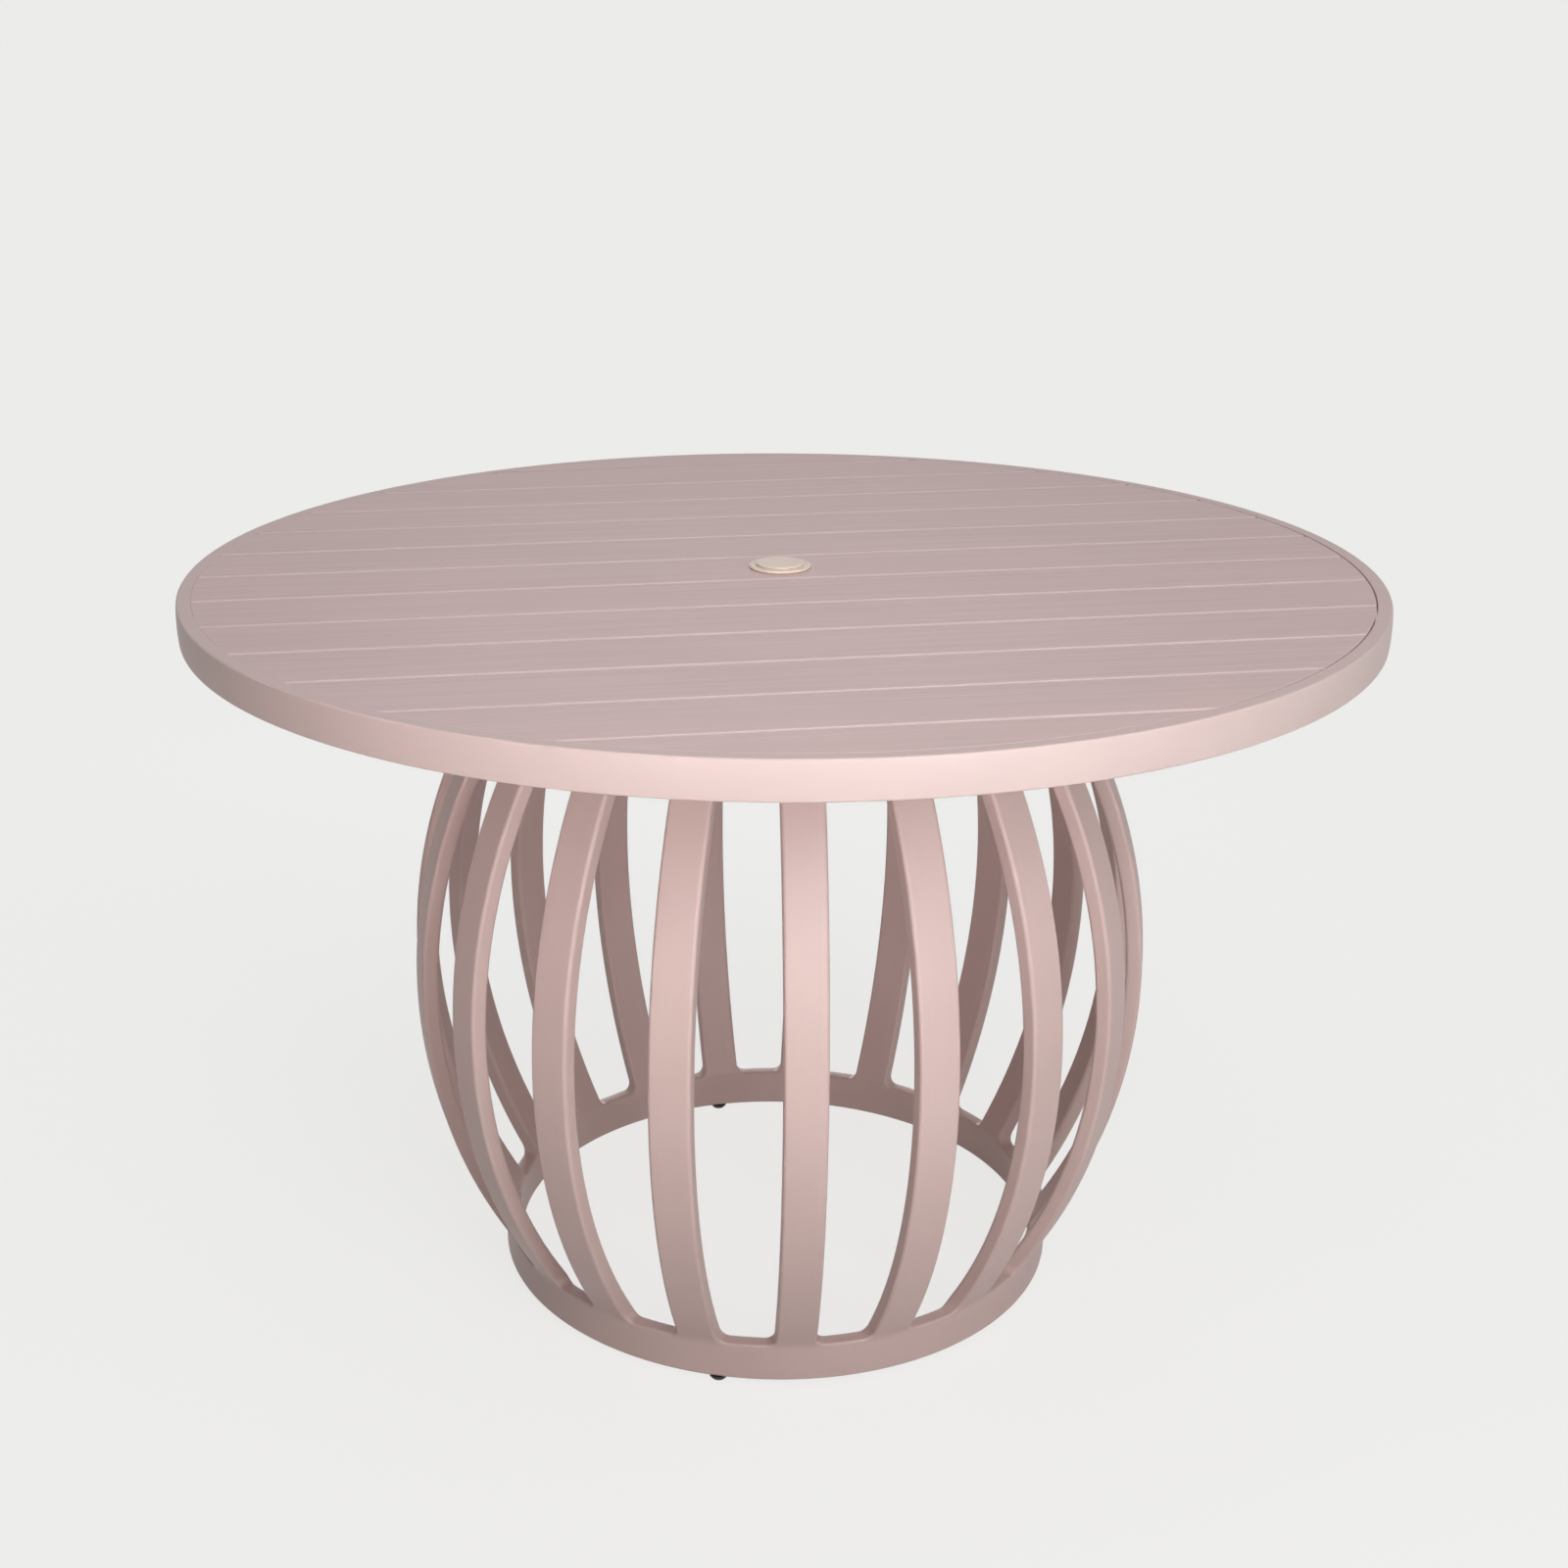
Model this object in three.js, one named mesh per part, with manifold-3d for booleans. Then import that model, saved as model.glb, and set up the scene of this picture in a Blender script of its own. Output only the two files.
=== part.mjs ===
// Round slatted aluminium patio table on a barrel of curved ribs, with a capped umbrella hole at its centre.
// Millimetres, +Z up. The origin lies on the floor under the table's centre, and the slats run along X.
import * as THREE from "three";
import { mergeVertices } from "three/addons/utils/BufferGeometryUtils.js";
import Module from "manifold-3d";

const wasm = await Module();
wasm.setup();

// Overall sizes
const tableDiameter = 1143;
const tableHeight = 737; // floor to the slat faces
const fitGap = 0.3; // between pieces that touch
const cutOverrun = 5; // how far a cutting shape passes the faces it cuts

// Rim band round the slats
const rimWidth = 14;
const rimLip = 1.7; // how far the band hangs below the cross bars
const rimOuterRound = 4;
const rimInnerRound = 1;
const rimFacets = 96;

// Slats: open channels of one extrusion, their side and middle walls hanging from a thin skin
const slatCount = 13;
const edgeSlatWidth = 57.9; // the first and last slat at their widest
const slatGap = 3.5;
const slatDepth = 12;
const slatSkin = 2.2;
const slatWall = 2;
const slatBays = 3;
const slatEdgeRound = 1;
const slatEndGap = 1.2; // open joint between the slat ends and the rim band

// Cross bars that carry the slats, of rectangular tube
const barInset = 49; // from the top ring's middle line in to the middle of a bar
const barWidth = 40;
const barHeight = 20;
const barWall = 2;

// Umbrella plate, collar and plug
const plateLength = 150;
const plateWidth = 120;
const plateThickness = 4;
const collarBoreDiameter = 42;
const collarWall = 4;
const collarFlangeWidth = 5; // how far the flange stands out past the sleeve
const collarFlangeThickness = 3;
const collarFlangeRound = 1.5;
const collarTail = 4; // how far the sleeve shows below the plate
const collarHoleClearance = 0.5;
const plugCapLip = 2; // how far the cap stands out past the bore
const plugCapThickness = 3;
const plugCapRound = 0.8;
const plugSkirtDepth = 12;
const plugSkirtWall = 2;
const plugSkirtClearance = 0.4;
const collarFacets = 32;

// Barrel base: ribs and both rings are bent from one stock of tube
const stockWidth = 40;
const stockThickness = 16;
const stockRound = 3.5;
const stockWall = 2.5;
const ribCount = 19;
const ribStartAngle = -1.2; // degrees from +X to the first rib
const ribSteps = 12;
const baseRingDiameter = 580;
const topRingDiameter = 514;
const bendRadius = 540; // of the ribs' outer faces
const ringFacets = 72;

// Glides pressed into the underside of the base ring
const glideAngles = [-111, -9, 94, 171]; // degrees from +X
const glideHeight = 5;
const glideDiameter = 18;
const glideFootDiameter = 13;
const glideEdge = 3; // height of the glide's sloping edge
const glideStemDiameter = 8;
const glideStemLength = 12;
const glideHoleClearance = 0.3;
const glideFacets = 16;

// Tabs, bolts and nuts that hold the top on the base
const tabWidth = 36;
const tabThickness = 5;
const tabReach = 72; // length of the tab along the middle of its bar
const boltInset = 26; // from the tab's inner end
const boltDiameter = 8;
const boltHeadAcross = 13;
const boltHeadHeight = 5;
const boltFlangeDiameter = 18;
const boltFlangeThickness = 1.5;
const boltTail = 2; // how far the bolt shows above its nut
const boltClearance = 0.3;
const nutAcross = 13;
const nutHeight = 6.5;
const boltFacets = 16;

// Finishes
const pinkCoat = new THREE.MeshStandardMaterial({ color: 0xc9a8a0, roughness: 0.5, metalness: 0.1 });
const creamPlastic = new THREE.MeshStandardMaterial({ color: 0xe6d9c6, roughness: 0.45, metalness: 0 });
const blackPlastic = new THREE.MeshStandardMaterial({ color: 0x1e1c1c, roughness: 0.6, metalness: 0 });
const zincSteel = new THREE.MeshStandardMaterial({ color: 0xa9a9a6, roughness: 0.4, metalness: 0.9 });

// Levels and radii that follow from the sizes above
const tableRadius = tableDiameter / 2;
const rimInnerRadius = tableRadius - rimWidth;
const slatEndRadius = rimInnerRadius - slatEndGap;
const slatPitch = (2 * (slatEndRadius - edgeSlatWidth) - slatGap) / (slatCount - 2);
const slatWidth = slatPitch - slatGap;
const slatBottom = tableHeight - slatDepth;
const barTop = slatBottom - fitGap;
const barBottom = barTop - barHeight;
const rimBottom = barBottom - rimLip;
const sleeveRadius = collarBoreDiameter / 2 + collarWall;
const collarHoleRadius = sleeveRadius + collarHoleClearance;
const baseRingBottom = glideHeight;
const baseRingTop = baseRingBottom + stockWidth;
const topRingTop = barBottom - fitGap;
const topRingBottom = topRingTop - stockWidth;
const baseRingRadius = baseRingDiameter / 2;
const topRingRadius = topRingDiameter / 2;
const topRingInnerRadius = topRingRadius - stockThickness;
const barOffset = topRingRadius - stockThickness / 2 - barInset;

// The ribs' outer faces lie on one arc from the base ring's upper edge to the top ring's lower edge.
// Its points are radius and height.
const ribFoot = new THREE.Vector2(baseRingRadius, baseRingTop);
const ribHead = new THREE.Vector2(topRingRadius, topRingBottom);
const ribChord = ribHead.clone().sub(ribFoot);
const inward = new THREE.Vector2(-ribChord.y, ribChord.x).normalize();
const bendDepth = Math.sqrt(bendRadius ** 2 - ribChord.lengthSq() / 4);
const bendCentre = ribFoot.clone().lerp(ribHead, 1 / 2).addScaledVector(inward, bendDepth);

// Joins and cuts

function solidOf(geometry) {
  const plain = geometry.clone();
  plain.deleteAttribute("normal");
  plain.deleteAttribute("uv");
  const merged = mergeVertices(plain);
  const shell = new wasm.Mesh({
    numProp: 3,
    vertProperties: merged.attributes.position.array,
    triVerts: new Uint32Array(merged.index.array),
  });
  return new wasm.Manifold(shell);
}

function geometryOf(solid) {
  const shell = solid.getMesh();
  const geometry = new THREE.BufferGeometry();
  geometry.setAttribute("position", new THREE.BufferAttribute(shell.vertProperties, 3));
  geometry.setIndex(new THREE.BufferAttribute(shell.triVerts, 1));
  geometry.computeVertexNormals();
  return geometry;
}

function cut(geometry, ...cutters) {
  return geometryOf(cutters.reduce((left, cutter) => left.subtract(solidOf(cutter)), solidOf(geometry)));
}

function keepInside(geometry, ...keepers) {
  return geometryOf(keepers.reduce((left, keeper) => left.intersect(solidOf(keeper)), solidOf(geometry)));
}

// Plain shapes, all upright on Z

function outlineOf(points) {
  return new THREE.Shape(points.map(([across, up]) => new THREE.Vector2(across, up)));
}

// A body of revolution from points given as radius and height, anticlockwise from below.
function turned(points, facets) {
  const profile = points.map(([radius, height]) => new THREE.Vector2(radius, height));
  return new THREE.LatheGeometry(profile, facets).rotateX(Math.PI / 2);
}

// A hoop whose section closes on itself.
function hoop(section, facets) {
  return turned([...section, section[0]], facets);
}

function disc(radius, bottom, top, facets) {
  const height = top - bottom;
  return new THREE.CylinderGeometry(radius, radius, height, facets)
    .rotateX(Math.PI / 2)
    .translate(0, 0, bottom + height / 2);
}

function block(length, width, bottom, top) {
  return new THREE.BoxGeometry(length, width, top - bottom).translate(0, 0, (top + bottom) / 2);
}

// An outline of across and up, drawn out along X to both sides of the origin.
function drawnAlongX(outline, length) {
  const geometry = new THREE.ExtrudeGeometry(outline, { depth: length, bevelEnabled: false });
  const turn = new THREE.Matrix4().makeBasis(
    new THREE.Vector3(0, 1, 0),
    new THREE.Vector3(0, 0, 1),
    new THREE.Vector3(1, 0, 0),
  );
  return geometry.applyMatrix4(turn).translate(-length / 2, 0, 0);
}

function rectanglePoints(width, height) {
  return [
    [-width / 2, -height / 2],
    [width / 2, -height / 2],
    [width / 2, height / 2],
    [-width / 2, height / 2],
  ];
}

// A rectangle with its four corners cut at 45 degrees.
function eightSidedPoints(width, height, corner) {
  const side = width / 2;
  const end = height / 2;
  return [
    [-side + corner, -end],
    [side - corner, -end],
    [side, -end + corner],
    [side, end - corner],
    [side - corner, end],
    [-side + corner, end],
    [-side, end - corner],
    [-side, -end + corner],
  ];
}

function place(parent, name, geometry, material) {
  const mesh = new THREE.Mesh(geometry, material);
  mesh.name = name;
  parent.add(mesh);
  return mesh;
}

function numbered(name, index, digits) {
  return name + "_" + String(index + 1).padStart(digits, "0");
}

// Table top

function rimBand() {
  const bevel = rimOuterRound * (1 - Math.SQRT1_2);
  const section = [
    [rimInnerRadius, rimBottom + rimInnerRound],
    [rimInnerRadius + rimInnerRound, rimBottom],
    [tableRadius - rimOuterRound, rimBottom],
    [tableRadius - bevel, rimBottom + bevel],
    [tableRadius, rimBottom + rimOuterRound],
    [tableRadius, tableHeight - rimOuterRound],
    [tableRadius - bevel, tableHeight - bevel],
    [tableRadius - rimOuterRound, tableHeight],
    [rimInnerRadius + rimInnerRound, tableHeight],
    [rimInnerRadius, tableHeight - rimInnerRound],
  ];
  return hoop(section, rimFacets);
}

function slatOutline() {
  const side = slatWidth / 2;
  const bay = (slatWidth - (slatBays + 1) * slatWall) / slatBays;
  const points = [
    [-side, -slatDepth],
    [-side, -slatEdgeRound],
    [-side + slatEdgeRound, 0],
    [side - slatEdgeRound, 0],
    [side, -slatEdgeRound],
    [side, -slatDepth],
  ];
  for (let i = slatBays - 1; i >= 0; i--) {
    const left = -side + slatWall + i * (bay + slatWall);
    points.push([left + bay, -slatDepth], [left + bay, -slatSkin], [left, -slatSkin], [left, -slatDepth]);
  }
  return outlineOf(points);
}

// One slat about its own centre line, cut to the round of the top; the middle one has the umbrella hole.
function slat(offset) {
  const plank = drawnAlongX(slatOutline(), tableDiameter);
  const round = disc(slatEndRadius, -slatDepth - cutOverrun, cutOverrun, rimFacets).translate(0, -offset, 0);
  const trimmed = keepInside(plank, round);
  if (offset !== 0) return trimmed;
  return cut(trimmed, disc(collarHoleRadius, -slatDepth - cutOverrun, cutOverrun, collarFacets));
}

const topGroup = new THREE.Group();
place(topGroup, "rim_band", rimBand(), pinkCoat);
for (let i = 0; i < slatCount; i++) {
  const offset = (i - (slatCount - 1) / 2) * slatPitch;
  const mesh = place(topGroup, numbered("slat", i, 2), slat(offset), pinkCoat);
  mesh.position.set(0, offset, tableHeight);
}

// Where the top ring's inner face passes under the middle of a cross bar.
const tabOuterEnd = Math.sqrt(topRingInnerRadius ** 2 - barOffset ** 2);
const boltAlongBar = tabOuterEnd - tabReach + boltInset;
const boltHoleRadius = boltDiameter / 2 + boltClearance;

function crossBar(offset) {
  const tube = outlineOf(rectanglePoints(barWidth, barHeight));
  const bore = rectanglePoints(barWidth - 2 * barWall, barHeight - 2 * barWall);
  tube.holes.push(new THREE.Path(outlineOf(bore).getPoints()));
  const bar = drawnAlongX(tube, tableDiameter)
    .rotateZ(Math.PI / 2)
    .translate(0, 0, barTop - barHeight / 2);
  const round = disc(rimInnerRadius - fitGap, barBottom - cutOverrun, barTop + cutOverrun, rimFacets);
  const boltHoles = [-boltAlongBar, boltAlongBar].map((along) =>
    disc(boltHoleRadius, barBottom - cutOverrun, barBottom + barHeight / 2, boltFacets).translate(0, along, 0),
  );
  return cut(keepInside(bar, round.translate(-offset, 0, 0)), ...boltHoles);
}

[-barOffset, barOffset].forEach((offset, i) => {
  place(topGroup, numbered("cross_bar", i, 1), crossBar(offset), pinkCoat).position.x = offset;
});

function umbrellaPlate() {
  const plate = block(plateLength, plateWidth, barTop - plateThickness, barTop);
  const hole = disc(collarHoleRadius, barTop - plateThickness - cutOverrun, barTop + cutOverrun, collarFacets);
  return cut(plate, hole);
}

place(topGroup, "umbrella_plate", umbrellaPlate(), pinkCoat);

// Umbrella collar and plug, both measured from the face of the middle slat
const flangeBottom = fitGap;
const flangeTop = flangeBottom + collarFlangeThickness;
const sleeveBottom = -slatDepth - fitGap - plateThickness - collarTail;

function umbrellaCollar() {
  const bore = collarBoreDiameter / 2;
  const flange = sleeveRadius + collarFlangeWidth;
  const section = [
    [bore, sleeveBottom],
    [sleeveRadius, sleeveBottom],
    [sleeveRadius, flangeBottom],
    [flange, flangeBottom],
    [flange, flangeTop - collarFlangeRound],
    [flange - collarFlangeRound, flangeTop],
    [bore, flangeTop],
  ];
  return hoop(section, collarFacets);
}

function umbrellaPlug() {
  const cap = collarBoreDiameter / 2 + plugCapLip;
  const skirt = collarBoreDiameter / 2 - plugSkirtClearance;
  const capBottom = flangeTop + fitGap;
  const capTop = capBottom + plugCapThickness;
  const profile = [
    [0, capBottom],
    [skirt - plugSkirtWall, capBottom],
    [skirt - plugSkirtWall, capBottom - plugSkirtDepth],
    [skirt, capBottom - plugSkirtDepth],
    [skirt, capBottom],
    [cap, capBottom],
    [cap, capTop - plugCapRound],
    [cap - plugCapRound, capTop],
    [0, capTop],
  ];
  return turned(profile, collarFacets);
}

place(topGroup, "umbrella_collar", umbrellaCollar(), creamPlastic).position.z = tableHeight;
place(topGroup, "umbrella_plug", umbrellaPlug(), creamPlastic).position.z = tableHeight;

// Barrel base

function stockRing(outerRadius, bottom) {
  const centre = outerRadius - stockThickness / 2;
  const middle = bottom + stockWidth / 2;
  const section = eightSidedPoints(stockThickness, stockWidth, stockRound);
  return hoop(
    section.map(([across, up]) => [centre + across, middle + up]),
    ringFacets,
  );
}

// The middle line of a rib, from below its foot to above its head.
class RibLine extends THREE.Curve {
  getPoint(share, target = new THREE.Vector3()) {
    const overrun = stockThickness / bendRadius;
    const foot = Math.asin((ribFoot.y - bendCentre.y) / bendRadius) - overrun;
    const head = Math.asin((ribHead.y - bendCentre.y) / bendRadius) + overrun;
    const angle = foot + (head - foot) * share;
    const reach = bendRadius - stockThickness / 2;
    return target.set(bendCentre.x + reach * Math.cos(angle), 0, bendCentre.y + reach * Math.sin(angle));
  }
}

// A rib of bent tube, its ends cut level to stand on the base ring and to carry the top ring.
function rib() {
  const tube = outlineOf(eightSidedPoints(stockWidth, stockThickness, stockRound));
  const bore = rectanglePoints(stockWidth - 2 * stockWall, stockThickness - 2 * stockWall);
  tube.holes.push(new THREE.Path(outlineOf(bore).getPoints()));
  const bent = new THREE.ExtrudeGeometry(tube, { steps: ribSteps, extrudePath: new RibLine() });
  return keepInside(bent, block(tableDiameter, tableDiameter, baseRingTop + fitGap, topRingBottom - fitGap));
}

function ribAngle(index) {
  return THREE.MathUtils.degToRad(ribStartAngle) + (index / ribCount) * 2 * Math.PI;
}

const glideCircle = baseRingRadius - stockThickness / 2;

function glidePlace(degrees) {
  const angle = THREE.MathUtils.degToRad(degrees);
  return new THREE.Vector3(glideCircle * Math.cos(angle), glideCircle * Math.sin(angle), 0);
}

function baseRing() {
  const stemHoles = glideAngles.map((degrees) => {
    const { x, y } = glidePlace(degrees);
    const radius = glideStemDiameter / 2 + glideHoleClearance;
    const holeTop = baseRingBottom + glideStemLength + fitGap;
    return disc(radius, baseRingBottom - cutOverrun, holeTop, glideFacets).translate(x, y, 0);
  });
  return cut(stockRing(baseRingRadius, baseRingBottom), ...stemHoles);
}

function glide() {
  const shoulder = glideHeight - fitGap;
  return turned(
    [
      [0, 0],
      [glideFootDiameter / 2, 0],
      [glideDiameter / 2, glideEdge],
      [glideDiameter / 2, shoulder],
      [glideStemDiameter / 2, shoulder],
      [glideStemDiameter / 2, glideHeight + glideStemLength],
      [0, glideHeight + glideStemLength],
    ],
    glideFacets,
  );
}

const baseGroup = new THREE.Group();
place(baseGroup, "base_ring", baseRing(), pinkCoat);
place(baseGroup, "top_ring", stockRing(topRingRadius, topRingBottom), pinkCoat);

const ribGeometry = rib();
for (let i = 0; i < ribCount; i++) {
  place(baseGroup, numbered("rib", i, 2), ribGeometry, pinkCoat).rotation.z = ribAngle(i);
}

const glideGeometry = glide();
glideAngles.forEach((degrees, i) => {
  place(baseGroup, numbered("glide", i, 1), glideGeometry, blackPlastic).position.copy(glidePlace(degrees));
});

// Fixing of the top to the base: a tab inside the top ring under each bar, with a bolt up into a nut in the bar

const tabTop = topRingTop;
const tabBottom = tabTop - tabThickness;
const nutBottom = barBottom + barWall + fitGap;

// The tab under the bar at +X, on its +Y side.
function mountingTab() {
  const innerEnd = tabOuterEnd - tabReach;
  const plate = block(tabWidth, tableRadius, tabBottom, tabTop).translate(barOffset, innerEnd + tableRadius / 2, 0);
  const round = disc(topRingInnerRadius - fitGap, tabBottom - cutOverrun, tabTop + cutOverrun, ringFacets);
  const hole = disc(boltHoleRadius, tabBottom - cutOverrun, tabTop + cutOverrun, boltFacets);
  return cut(keepInside(plate, round), hole.translate(barOffset, boltAlongBar, 0));
}

// A hexagonal prism measured across its flats.
function hexagon(across, bottom, top) {
  return disc(across / 2 / Math.cos(Math.PI / 6), bottom, top, 6);
}

function mountingBolt() {
  const flangeFace = tabBottom - fitGap;
  const flangeFoot = flangeFace - boltFlangeThickness;
  const headFoot = flangeFoot - boltHeadHeight;
  const nutTop = nutBottom + nutHeight;
  const head = solidOf(hexagon(boltHeadAcross, headFoot, flangeFace - boltFlangeThickness / 2));
  const flange = solidOf(disc(boltFlangeDiameter / 2, flangeFoot, flangeFace, boltFacets));
  const shank = solidOf(disc(boltDiameter / 2, flangeFoot, nutTop + boltTail, boltFacets));
  return geometryOf(head.add(flange).add(shank)).translate(barOffset, boltAlongBar, 0);
}

function weldNut() {
  const body = hexagon(nutAcross, nutBottom, nutBottom + nutHeight);
  const bore = disc(boltHoleRadius, nutBottom - cutOverrun, nutBottom + nutHeight + cutOverrun, boltFacets);
  return cut(body, bore).translate(barOffset, boltAlongBar, 0);
}

// Each piece is made for one corner and mirrored to the other three.
const corners = [
  [1, 1],
  [-1, 1],
  [-1, -1],
  [1, -1],
];
const cornerPieces = [
  ["mounting_tab", mountingTab(), pinkCoat],
  ["mounting_bolt", mountingBolt(), zincSteel],
  ["weld_nut", weldNut(), zincSteel],
];
for (const [name, geometry, material] of cornerPieces) {
  corners.forEach(([xSide, ySide], i) => {
    place(baseGroup, numbered(name, i, 1), geometry, material).scale.set(xSide, ySide, 1);
  });
}

const umbrellaTable = new THREE.Group();
umbrellaTable.add(topGroup, baseGroup);

export default umbrellaTable;
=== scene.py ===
import math

import bmesh
import bpy
import numpy as np
from mathutils import Matrix, Vector


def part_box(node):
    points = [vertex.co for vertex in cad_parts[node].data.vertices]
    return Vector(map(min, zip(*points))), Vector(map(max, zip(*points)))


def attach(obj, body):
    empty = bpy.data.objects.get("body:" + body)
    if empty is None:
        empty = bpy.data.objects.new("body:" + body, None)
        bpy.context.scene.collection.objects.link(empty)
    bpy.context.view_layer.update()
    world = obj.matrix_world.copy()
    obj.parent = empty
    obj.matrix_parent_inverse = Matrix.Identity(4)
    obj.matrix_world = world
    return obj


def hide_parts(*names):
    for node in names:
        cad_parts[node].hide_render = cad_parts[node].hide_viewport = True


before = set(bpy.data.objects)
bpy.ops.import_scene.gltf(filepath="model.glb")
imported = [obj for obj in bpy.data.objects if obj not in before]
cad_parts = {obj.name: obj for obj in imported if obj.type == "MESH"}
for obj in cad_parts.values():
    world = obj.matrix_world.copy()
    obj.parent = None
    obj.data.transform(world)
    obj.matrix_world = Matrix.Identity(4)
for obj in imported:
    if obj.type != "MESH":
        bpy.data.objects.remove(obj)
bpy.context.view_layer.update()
scene = bpy.context.scene
scene.view_settings.view_transform = "Standard"

# The view: a person standing about two metres in front of the table, looking down on its top.
# The heading, the tilt and the roll are those of the photograph, and so is the lens.
eye = Vector((-0.3587, -1.9998, 1.2420))
heading = 0.1479  # radians to the right of +Y
tilt = -0.3661  # radians above the level
roll = -0.0023
lens_mm, sensor_mm = 49.17, 36
shift_right, shift_up = 0.0417, 0.0296
nearest_seen = 0.05

ahead = Vector((math.sin(heading) * math.cos(tilt), math.cos(heading) * math.cos(tilt), math.sin(tilt)))
level = ahead.cross(Vector((0, 0, 1))).normalized()
upward = level.cross(ahead)
across = level * math.cos(roll) + upward * math.sin(roll)
upright = upward * math.cos(roll) - level * math.sin(roll)
camera = bpy.data.objects.new("camera", bpy.data.cameras.new("camera"))
camera.data.lens = lens_mm
camera.data.sensor_width = sensor_mm
camera.data.shift_x, camera.data.shift_y = shift_right, shift_up
camera.data.clip_start = nearest_seen
camera.matrix_world = Matrix.Translation(eye) @ Matrix((across, upright, -ahead)).transposed().to_4x4()
scene.collection.objects.link(camera)
scene.camera = camera


# The floor and the backdrop: one even, pale grey, in which only the floor near the table takes its shadow.
# Both show their own grey to the eye and in reflections, whatever the lamps do.
def shade(red, green, blue):
    """A colour as it is seen, 0 to 255, as the shaders take it."""
    seen = [c / 255 for c in (red, green, blue)]
    return tuple(c / 12.92 if c <= 0.04045 else ((c + 0.055) / 1.055) ** 2.4 for c in seen) + (1,)


def added(nodes, kind, values=None, **settings):
    """A new node with these settings, and with these values on its inputs."""
    node = nodes.new(kind)
    for setting, value in settings.items():
        setattr(node, setting, value)
    for label, value in (values or {}).items():
        node.inputs[label].default_value = value
    return node


def seen_directly(tree):
    """1 for what the eye sees, straight or in a glossy or clear surface, and 0 for light that bounces."""
    rays = tree.nodes.new("ShaderNodeLightPath")
    total = rays.outputs["Is Camera Ray"]
    for kind in ("Is Glossy Ray", "Is Transmission Ray"):
        adding = added(tree.nodes, "ShaderNodeMath", operation="ADD", use_clamp=True)
        tree.links.new(total, adding.inputs[0])
        tree.links.new(rays.outputs[kind], adding.inputs[1])
        total = adding.outputs[0]
    return total


def new_material(name):
    """A material, its nodes and its links."""
    material = bpy.data.materials.new(name)
    material.use_nodes = True
    return material, material.node_tree.nodes, material.node_tree.links


backdrop_grey = shade(236, 236, 234)
room_light = (1, 0.94, 0.92, 1)
room_strength = 0.12

world = bpy.data.worlds.new("studio")
scene.world = world
world.use_nodes = True
nodes, links = world.node_tree.nodes, world.node_tree.links
room = nodes["Background"]
room.inputs["Color"].default_value = room_light
room.inputs["Strength"].default_value = room_strength
backdrop = added(nodes, "ShaderNodeBackground", {"Color": backdrop_grey})
choice = nodes.new("ShaderNodeMixShader")
links.new(seen_directly(world.node_tree), choice.inputs[0])
links.new(room.outputs[0], choice.inputs[1])
links.new(backdrop.outputs[0], choice.inputs[2])
links.new(choice.outputs[0], nodes["World Output"].inputs["Surface"])

floor_radius, floor_corners = 9.0, 96
floor_bounce = (0.56, 0.53, 0.515, 1)
shadow_depth = 0.18  # how much of the floor's brightness comes from the lamps
open_floor = 0.47  # how brightly the lamps light the floor beside the table
shadow_base = tuple(c - shadow_depth * open_floor for c in backdrop_grey[:3]) + (1,)
shadow_reach = (0.9, 2.2)  # distance from the table over which the shadow fades out

floor_mesh = bpy.data.meshes.new("floor")
floor_edge = [(floor_radius * math.cos(a), floor_radius * math.sin(a), 0)
              for a in np.linspace(0, 2 * math.pi, floor_corners + 1)[:-1]]
floor_mesh.from_pydata(floor_edge, [], [range(floor_corners)])
floor = bpy.data.objects.new("floor", floor_mesh)
scene.collection.objects.link(floor)

paving, nodes, links = new_material("pale_floor")
nodes.remove(nodes["Principled BSDF"])
bouncing = added(nodes, "ShaderNodeBsdfDiffuse", {"Color": floor_bounce})
taking = added(nodes, "ShaderNodeBsdfDiffuse", {"Color": (shadow_depth,) * 3 + (1,)})
base = added(nodes, "ShaderNodeEmission", {"Color": shadow_base})
near = nodes.new("ShaderNodeAddShader")
far = added(nodes, "ShaderNodeEmission", {"Color": backdrop_grey})
place = nodes.new("ShaderNodeTexCoord")
distance = added(nodes, "ShaderNodeVectorMath", operation="LENGTH")
fading = added(nodes, "ShaderNodeMapRange", {"From Min": shadow_reach[0], "From Max": shadow_reach[1]},
               interpolation_type="SMOOTHSTEP")
floor_shown = nodes.new("ShaderNodeMixShader")
floor_all = nodes.new("ShaderNodeMixShader")
links.new(taking.outputs[0], near.inputs[0])
links.new(base.outputs[0], near.inputs[1])
links.new(place.outputs["Object"], distance.inputs[0])
links.new(distance.outputs["Value"], fading.inputs["Value"])
links.new(fading.outputs["Result"], floor_shown.inputs[0])
links.new(near.outputs[0], floor_shown.inputs[1])
links.new(far.outputs[0], floor_shown.inputs[2])
links.new(seen_directly(paving.node_tree), floor_all.inputs[0])
links.new(bouncing.outputs[0], floor_all.inputs[1])
links.new(floor_shown.outputs[0], floor_all.inputs[2])
links.new(floor_all.outputs[0], nodes["Material Output"].inputs["Surface"])
floor_mesh.materials.append(paving)


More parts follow.
